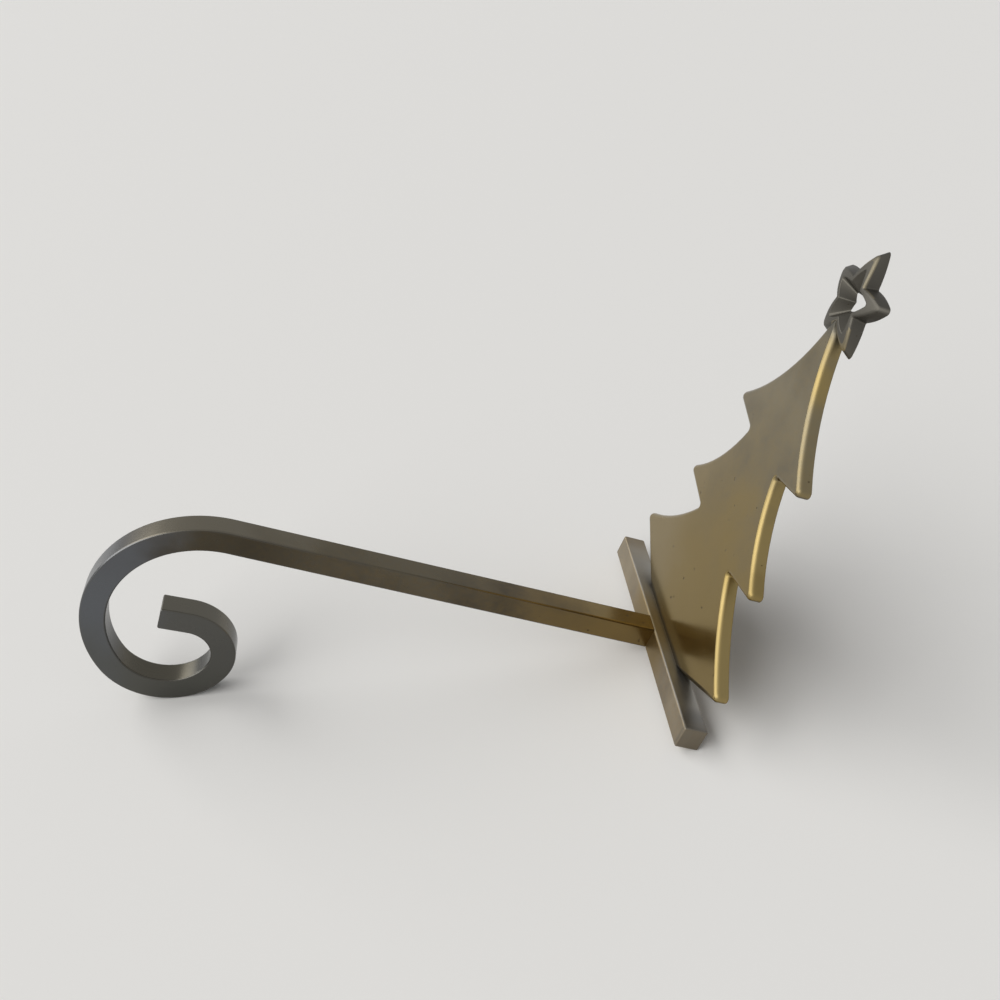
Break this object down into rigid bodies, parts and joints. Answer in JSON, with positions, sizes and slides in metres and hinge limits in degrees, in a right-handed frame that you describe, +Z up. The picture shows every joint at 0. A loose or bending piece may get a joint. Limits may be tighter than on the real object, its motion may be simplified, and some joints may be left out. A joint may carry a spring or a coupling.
{
  "type": "mantel stocking holder",
  "caption": "Brass mantel stocking holder: a square bar bent into a scroll hook, joined to a crossbar foot that carries an upright cast tree with an open star on top.",
  "frame": {"origin": "centre of the bounding box's bottom, on the table that the holder stands on", "axes": "+X runs from the scroll hook to the tree, +Y along the crossbar, +Z up from the table"},
  "size_m": [0.292, 0.117, 0.1636],
  "materials": {
    "arm_brass": "darkened satin",
    "crossbar_brass": "aged satin",
    "tree_brass": "aged satin with a brighter rim"
  },
  "bodies": {
    "root": {"arm": "arm_brass", "crossbar": "crossbar_brass", "tree": "tree_brass"}
  },
  "joints": []
}
